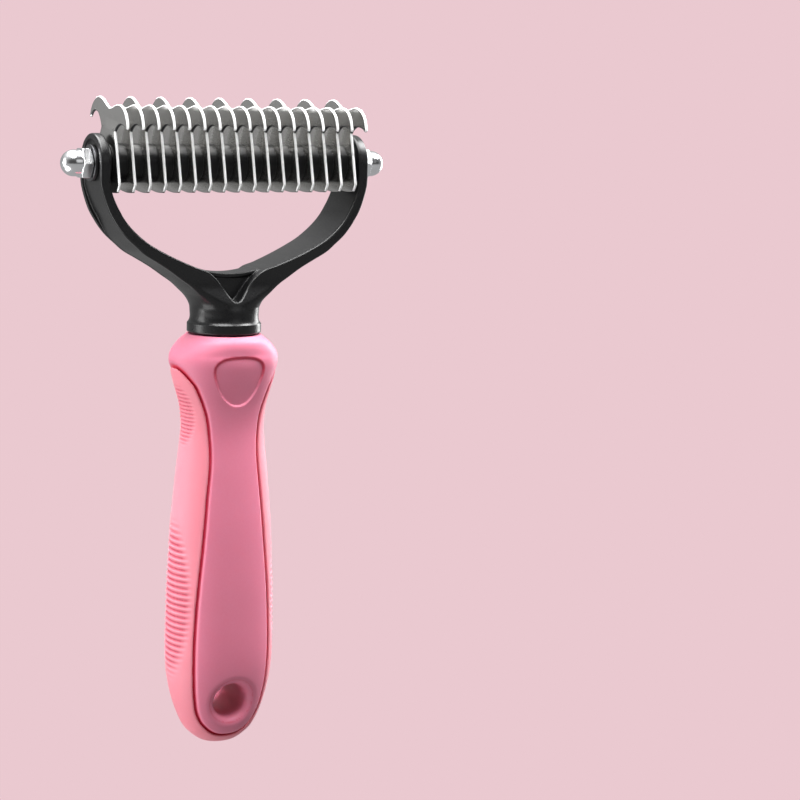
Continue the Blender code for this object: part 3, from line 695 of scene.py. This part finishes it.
# ------------------------------------------------------------------ head
def hook_outline(two_sided):
    """Blade outline as (u, w, ground width): front is +u, w is up from the shaft."""
    over = spline([(0.0, 15.3), (1.7, 15.75), (3.4, 16.4), (5.2, 17.0), (6.9, 17.25), (8.5, 17.15),
                   (9.9, 16.7), (11.2, 15.9), (12.3, 14.8), (13.15, 13.4), (13.6, 12.3),
                   (13.65, 11.95)], 5)
    tip = [(13.55, 11.6), (13.3, 11.4), (12.95, 11.4)]
    throat = spline([(12.75, 11.45), (11.7, 11.9), (10.5, 12.1), (9.2, 12.1), (8.0, 11.85), (6.8, 11.2),
                     (5.8, 10.35), (5.1, 9.4)], 5)
    flank = spline([(5.1, 9.4), (5.6, 8.3), (6.52, 6.2), (7.76, 3.1), (9.08, -0.2), (10.44, -3.6)], 5)[1:]
    foot = [(10.55, -4.0), (10.52, -4.35), (9.65, -6.2), (9.4, -6.5), (9.05, -6.6)]
    under = spline([(9.05, -6.6), (6.0, -7.15), (3.0, -7.4), (0.0, -7.45)], 4)[1:]
    def tag(points, width):
        return [(u, w, width) for u, w in points]
    half = (tag(over, 0.27) + tag(tip, 0.30) + tag(throat, 0.34) + tag(flank, 0.42)
            + tag(foot, 0.20) + tag(under, 0.12))
    if two_sided:
        over_rear = spline([(0.0, 15.3), (1.7, 15.75), (3.4, 16.4), (5.2, 17.0), (6.9, 17.25),
                            (8.5, 17.15), (9.9, 16.7), (11.3, 15.85), (12.55, 14.6), (13.5, 13.0),
                            (13.95, 11.6), (14.05, 11.0)], 5)
        tip_rear = [(13.98, 10.65), (13.75, 10.45), (13.45, 10.5)]
        throat_rear = spline([(13.3, 10.65), (12.5, 11.7), (11.3, 12.55), (10.0, 12.9), (8.5, 12.7),
                              (7.0, 11.75), (5.85, 10.5), (5.1, 9.4)], 5)
        rear = (tag(over_rear, 0.27) + tag(tip_rear, 0.2) + tag(throat_rear, 0.30) + tag(flank, 0.42)
                + tag(foot, 0.20) + tag(under, 0.12))
    else:
        top = spline([(0.0, 15.3), (1.4, 15.15), (2.8, 14.5), (4.0, 13.1), (4.8, 11.3), (5.1, 9.4)], 5)
        rear = tag(top, 0.2) + tag(flank, 0.2) + tag(foot, 0.15) + tag(under, 0.12)
    front = [(-u, w, g) for u, w, g in half]
    back = [(u, w, g) for u, w, g in reversed(rear) if u > 1e-6]
    ring = front + back
    # front runs anticlockwise seen from +X with y = -u to the left
    return ring


def blade_mesh(name, two_sided):
    ring = hook_outline(two_sided)
    pts = np.array([(y, z) for y, z, _ in ring])
    width = np.array([g for _, _, g in ring])
    for _ in range(4):
        width = (np.roll(width, 1) + 2 * width + np.roll(width, -1)) / 4
    area = 0.5 * np.sum(pts[:, 0] * np.roll(pts[:, 1], -1) - np.roll(pts[:, 0], -1) * pts[:, 1])
    if area < 0:
        pts, width = pts[::-1].copy(), width[::-1].copy()
    def inset(points, distance):
        tangent = np.roll(points, -1, 0) - np.roll(points, 1, 0)
        tangent /= np.maximum(np.linalg.norm(tangent, axis=1), 1e-9)[:, None]
        inward = np.stack([-tangent[:, 1], tangent[:, 0]], 1)
        return points + inward * distance[:, None]
    n = len(pts)
    half = 0.4
    rings = [(inset(pts, width), half), (inset(pts, 0.06 + 0 * width), half - 0.16),
             (pts, half - 0.22), (pts, -(half - 0.22)),
             (inset(pts, 0.06 + 0 * width), -(half - 0.16)), (inset(pts, width), -half)]
    hole = [(-2.6, -2.6), (2.6, -2.6), (2.6, 2.6), (-2.6, 2.6)]
    verts, faces, mats = [], [], []
    for points, x in rings:
        verts += [(x, y, z) for y, z in points]
    for r in range(len(rings) - 1):
        for i in range(n):
            j = (i + 1) % n
            faces.append((r * n + i, (r + 1) * n + i, (r + 1) * n + j, r * n + j))
            mats.append(1)
    for index, (points, x) in ((0, rings[0]), (len(rings) - 1, rings[-1])):
        base = len(verts)
        verts += [(x, y, z) for y, z in hole]
        loop = [Vector((y, z, 0)) for y, z in points]
        inner = [Vector((y, z, 0)) for y, z in hole]
        ids = [index * n + i for i in range(n)] + [base + i for i in range(4)]
        for tri in tessellate_polygon([loop, inner]):
            a, b, c = (ids[t] for t in tri)
            p, q, s = (np.array(verts[t])[1:] for t in (a, b, c))
            turn = (q[0] - p[0]) * (s[1] - p[1]) - (q[1] - p[1]) * (s[0] - p[0])
            if (turn > 0) != (x > 0):
                b, c = c, b
            faces.append((a, b, c))
            mats.append(0)
    high, low = len(verts) - 8, len(verts) - 4
    for i in range(4):
        j = (i + 1) % 4
        faces.append((high + i, high + j, low + j, low + i))
        mats.append(0)
    mesh = bpy.data.meshes.new(name)
    lean = Matrix.Rotation(PITCH, 3, "X")
    mesh.from_pydata([lean @ (Vector(v) * MM) for v in verts], [], faces)
    mesh.materials.append(STEEL)
    mesh.materials.append(GROUND_GLINT)
    mesh.materials.append(UNDERSIDE_SHADE)
    for k in range(len(rings) - 1):
        for m in range(n):
            u, w = abs(pts[m, 0]), pts[m, 1]
            if w < -4.6 or u > 12.6 and w < 11.7:
                mats[k * n + m] = 0
            # painted shade: throat and foot underside edges get the dark underside material
            if w < -6.3 or 5.3 < u < 12.9 and 9.0 < w < 12.95 and w < 14.0 - 0.1 * u:
                mats[k * n + m] = 2
    mesh.polygons.foreach_set("material_index", mats)
    bm = bmesh.new()
    bm.from_mesh(mesh)
    bmesh.ops.recalc_face_normals(bm, faces=bm.faces)
    bm.to_mesh(mesh)
    bm.free()
    mesh.shade_smooth()
    mesh.set_sharp_from_angle(angle=math.radians(32))
    return mesh


def lathe(name, profile, mat, segments=96, closed=True):
    """Profile (x along the axis, radius) turned about X; the profile is always joined end to start, so it turns
    into a ring. The closed argument is not used.
    """
    points, faces = [], []
    n = len(profile)
    for k in range(segments):
        a = 2 * math.pi * k / segments
        points += [(x, r * math.cos(a), r * math.sin(a)) for x, r in profile]
    for k in range(segments):
        m = (k + 1) % segments
        for i in range(n):
            j = (i + 1) % n
            faces.append((k * n + i, k * n + j, m * n + j, m * n + i))
    obj = mesh_object(name, points, faces, mat)
    bm = bmesh.new()
    bm.from_mesh(obj.data)
    bmesh.ops.recalc_face_normals(bm, faces=bm.faces)
    bm.to_mesh(obj.data)
    bm.free()
    obj.data.shade_smooth()
    obj.data.set_sharp_from_angle(angle=math.radians(40))
    return obj


def ring_profile(length, inner, outer, bevel):
    """Ring section with rounded outer edges."""
    h = length / 2
    out = [(-h, inner), (-h, outer - bevel)]
    for k in range(1, 6):
        a = math.radians(18 * k)
        out.append((-h + bevel * (1 - math.cos(a)), outer - bevel + bevel * math.sin(a)))
    for k in range(0, 5):
        a = math.radians(90 - 18 * k)
        out.append((h - bevel * (1 - math.cos(a)), outer - bevel + bevel * math.sin(a)))
    out += [(h, outer - bevel), (h, inner)]
    return out


def centre_x(node):
    low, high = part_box(node)
    return (low.x + high.x) * 500.0


def place_head(obj, x, body="blade_head", turn=0.0):
    obj.matrix_world = HEAD @ Matrix.Translation((x * MM, 0, 0)) @ Matrix.Rotation(turn, 4, "X")
    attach(obj, body)


def build_head():
    two, one = blade_mesh("blade_two_sided", True), blade_mesh("blade_one_sided", False)
    for i in range(1, 18):
        node = "blade_%02d" % i
        obj = bpy.data.objects.new("plate_%02d" % i, two if i % 2 else one)
        bpy.context.scene.collection.objects.link(obj)
        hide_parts(node)
        obj.matrix_world = Matrix.Translation((centre_x(node) * MM, HANDLE_Y * MM, SHAFT_Z * MM))
        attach(obj, "blade_head")
    ring = lathe("sleeve_01", ring_profile(3.72, 3.62, 5.45, 0.18), SPACER)
    for i in range(1, 17):
        node = "spacer_%02d" % i
        obj = ring if i == 1 else bpy.data.objects.new("sleeve_%02d" % i, ring.data)
        if i > 1:
            bpy.context.scene.collection.objects.link(obj)
        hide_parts(node)
        place_head(obj, centre_x(node))
    for side in ("left", "right"):
        end = lathe("end_disc_" + side, ring_profile(1.28, 3.62, 5.45, 0.15), SPACER)
        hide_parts("end_spacer_" + side)
        place_head(end, centre_x("end_spacer_" + side))
        washer = lathe("flat_washer_" + side, ring_profile(1.03, 2.65, 5.0, 0.12), WASHER)
        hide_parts("washer_" + side)
        place_head(washer, centre_x("washer_" + side), side + "_washer")


def build_nuts():
    for side, sign, turn in (("left", -1, -8.0), ("right", 1, -7.0)):
        low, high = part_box("cap_nut_" + side)
        base = min(abs(low.x), abs(high.x)) * 1000
        tip = max(abs(low.x), abs(high.x)) * 1000
        g = Grid((base - 0.6, -5.4, -5.4), (tip + 0.6, 5.4, 5.4), 0.085)
        corner = 8.0 / math.sqrt(3)
        hexagon = [(corner * math.cos(math.radians(60 * k + turn)),
                    corner * math.sin(math.radians(60 * k + turn))) for k in range(6)]
        flat = polygon_field(g.y[:, None], g.z[None, :], hexagon)[None, :, :]
        top = base + 2.8
        rho = np.sqrt(g.Y ** 2 + g.Z ** 2)
        nut = meet(np.broadcast_to(flat, g.shape), np.maximum(g.X - top, base - g.X) + 0 * rho, 0.12)
        cone = (rho - 4.02 + (g.X - top) * 1.6) / math.hypot(1, 1.6)
        foot = (rho - 4.22 - (g.X - base) * 1.8) / math.hypot(1, 1.8)
        nut = meet(meet(nut, cone, 0.08), foot, 0.08)
        r = 3.65
        ball = np.sqrt((g.X - (tip - r)) ** 2 + rho ** 2) - r
        neck = np.maximum(rho - r, base + 1 - g.X)
        dome = np.where(g.X > tip - r, ball, neck).astype(np.float32)
        nut = join(nut.astype(np.float32), dome, 0.22)
        thread = np.maximum(rho - 2.5, g.X - (base + 5.5))
        nut = less(nut, thread + 0 * nut, 0.15)
        points, quads, normals = net(nut.astype(np.float32), g)
        if sign < 0:
            points, normals = points * (-1, 1, 1), normals * (-1, 1, 1)
            quads = quads[:, ::-1]
        obj = mesh_object("acorn_nut_" + side, points, quads, CHROME, matrix=HEAD, normals=normals)
        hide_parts("cap_nut_" + side)
        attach(obj, side + "_nut")


def build_shaft():
    """Square bar with rounded corners, and a rolled thread on both round ends."""
    low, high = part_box("blade_shaft")
    half = max(abs(low.x), abs(high.x)) * 1000
    seg = 72
    stations = []
    thread_from = 38.25
    x = -half
    while x < -thread_from:
        stations.append((x, 1)); x += 0.1
    stations += [(-thread_from, 1), (-38.1, 0), (-38.09, 0)]
    stations += [(v, 0) for v in np.linspace(-30, 30, 7)]
    stations += [(38.09, 0), (38.1, 0), (thread_from, 1)]
    x = thread_from + 0.1
    while x < half:
        stations.append((x, 1)); x += 0.1
    stations.append((half, 1))
    points, faces = [], []
    for x, kind in stations:
        for k in range(seg):
            a = 2 * math.pi * k / seg
            if kind:
                phase = (x / 0.8 - a / (2 * math.pi)) % 1.0
                ridge = 1 - abs(2 * phase - 1)
                r = 2.02 + 0.38 * min(1.0, ridge * 1.25)
                r = min(r, 1.9 + (half - abs(x)) * 1.0)
            else:
                r = min(2.5 / max(abs(math.cos(a)), abs(math.sin(a))), 3.42)
            points.append((x, r * math.cos(a), r * math.sin(a)))
    n = len(stations)
    for s in range(n - 1):
        for k in range(seg):
            m = (k + 1) % seg
            faces.append((s * seg + k, s * seg + m, (s + 1) * seg + m, (s + 1) * seg + k))
    points += [(-half, 0, 0), (half, 0, 0)]
    first, last = len(points) - 2, len(points) - 1
    mesh = bpy.data.meshes.new("keyed_shaft")
    tris = [(first, (k + 1) % seg, k) for k in range(seg)]
    tris += [(last, (n - 1) * seg + k, (n - 1) * seg + (k + 1) % seg) for k in range(seg)]
    mesh.from_pydata([tuple(c * MM for c in p) for p in points], [], faces + tris)
    bm = bmesh.new()
    bm.from_mesh(mesh)
    bmesh.ops.recalc_face_normals(bm, faces=bm.faces)
    bm.to_mesh(mesh)
    bm.free()
    mesh.shade_smooth()
    mesh.set_sharp_from_angle(angle=math.radians(35))
    mesh.materials.append(SHAFT)
    obj = bpy.data.objects.new("keyed_shaft", mesh)
    bpy.context.scene.collection.objects.link(obj)
    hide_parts("blade_shaft")
    place_head(obj, 0.0)


# ------------------------------------------------------------------ studio
def soft_light(name, where, target, size, power, color=(1, 1, 1), size_y=None, mirrored_too=True):
    data = bpy.data.lights.new(name, "AREA")
    data.shape = "ELLIPSE"
    data.size, data.size_y = size, size_y or size
    data.energy = power
    data.color = color
    obj = bpy.data.objects.new(name, data)
    bpy.context.scene.collection.objects.link(obj)
    obj.location = where
    obj.rotation_euler = (Vector(target) - Vector(where)).to_track_quat("-Z", "Y").to_euler()
    obj.visible_glossy = mirrored_too
    return obj


def build_studio():
    back = srgb(234, 201, 208)
    world = bpy.data.worlds.new("studio")
    bpy.context.scene.world = world
    world.use_nodes = True
    tree = world.node_tree
    node = tree.nodes["Background"]
    path = tree.nodes.new("ShaderNodeLightPath")
    # the surroundings the rake mirrors: a neutral tent, paler above, dark in front
    place = tree.nodes.new("ShaderNodeTexCoord")
    split = tree.nodes.new("ShaderNodeSeparateXYZ")
    tree.links.new(place.outputs["Generated"], split.inputs[0])
    height = tree.nodes.new("ShaderNodeMapRange")
    height.interpolation_type = "SMOOTHSTEP"
    for key, value in (("From Min", 0.25), ("From Max", 0.90), ("To Min", 0.34), ("To Max", 0.90)):
        height.inputs[key].default_value = value
    tree.links.new(split.outputs["Z"], height.inputs["Value"])
    front = tree.nodes.new("ShaderNodeMapRange")
    front.interpolation_type = "SMOOTHSTEP"
    for key, value in (("From Min", -0.8), ("From Max", 0.2), ("To Min", 0.14), ("To Max", 1.0)):
        front.inputs[key].default_value = value
    tree.links.new(split.outputs["Y"], front.inputs["Value"])
    tent = tree.nodes.new("ShaderNodeMath")
    tent.operation = "MULTIPLY"
    tree.links.new(height.outputs["Result"], tent.inputs[0])
    tree.links.new(front.outputs["Result"], tent.inputs[1])
    shown = tree.nodes.new("ShaderNodeMix")
    shown.data_type = "RGBA"
    tree.links.new(path.outputs["Is Camera Ray"], shown.inputs[0])
    tree.links.new(tent.outputs[0], shown.inputs[6])
    shown.inputs[7].default_value = back
    tree.links.new(shown.outputs[2], node.inputs["Color"])
    node.inputs["Strength"].default_value = 1.0

    mesh = bpy.data.meshes.new("floor")
    bm = bmesh.new()
    bmesh.ops.create_circle(bm, cap_ends=True, segments=96, radius=6.0)
    bm.to_mesh(mesh)
    bm.free()
    floor = bpy.data.objects.new("floor", mesh)
    floor.location = (0, 0, -0.30)
    bpy.context.scene.collection.objects.link(floor)
    n = Nodes("floor")
    tree = n.tree
    lp = tree.nodes.new("ShaderNodeLightPath")
    glow = tree.nodes.new("ShaderNodeEmission")
    tone = n.mix(lp.outputs["Is Camera Ray"], (0.39, 0.39, 0.39, 1.0), back)
    tree.links.new(tone, glow.inputs["Color"])
    tree.links.new(glow.outputs[0], tree.nodes["Material Output"].inputs["Surface"])
    mesh.materials.append(n.mat)

    aim = (0, 0, 0.12)
    soft_light("overhead", (-0.08, 0.01, 0.70), aim, 0.90, 14.5, size_y=0.50)
    soft_light("right_top", (0.34, -0.06, 0.55), aim, 0.30, 5.0, size_y=0.30)
    soft_light("left", (-0.66, 0.20, 0.20), aim, 0.30, 2.5, size_y=0.60)
    soft_light("right_back", (0.55, 0.22, 0.22), aim, 0.20, 2.8, size_y=0.60)
    soft_light("front", (0.25, -0.80, 0.44), aim, 0.40, 0.26)
    soft_light("below_left", (-0.42, 0.0, -0.22), aim, 0.45, 1.7)

    data = bpy.data.cameras.new("camera")
    data.sensor_fit = "HORIZONTAL"
    data.sensor_width = 36.0
    data.lens = 2081.5 / 800.0 * 36.0
    data.shift_x, data.shift_y = (400 - 222.2) / 800.0, (420 - 400) / 800.0
    data.clip_start = 0.01
    camera = bpy.data.objects.new("camera", data)
    bpy.context.scene.collection.objects.link(camera)
    a, e = math.radians(-25.0), math.radians(8.9)
    target = Vector((0, HANDLE_Y * MM, 0.0955))
    direction = Vector((math.sin(a) * math.cos(e), -math.cos(a) * math.cos(e), math.sin(e)))
    camera.location = target + direction * 0.600
    camera.rotation_mode = "QUATERNION"
    look = (-direction).to_track_quat("-Z", "Y")
    camera.rotation_quaternion = look @ Quaternion((0, 0, 1), math.radians(1.0))
    bpy.context.scene.camera = camera
    view = bpy.context.scene.view_settings
    view.view_transform = "Standard"
    view.look = "None"


build_handle()
build_fork()
build_head()
build_nuts()
build_shaft()
build_studio()
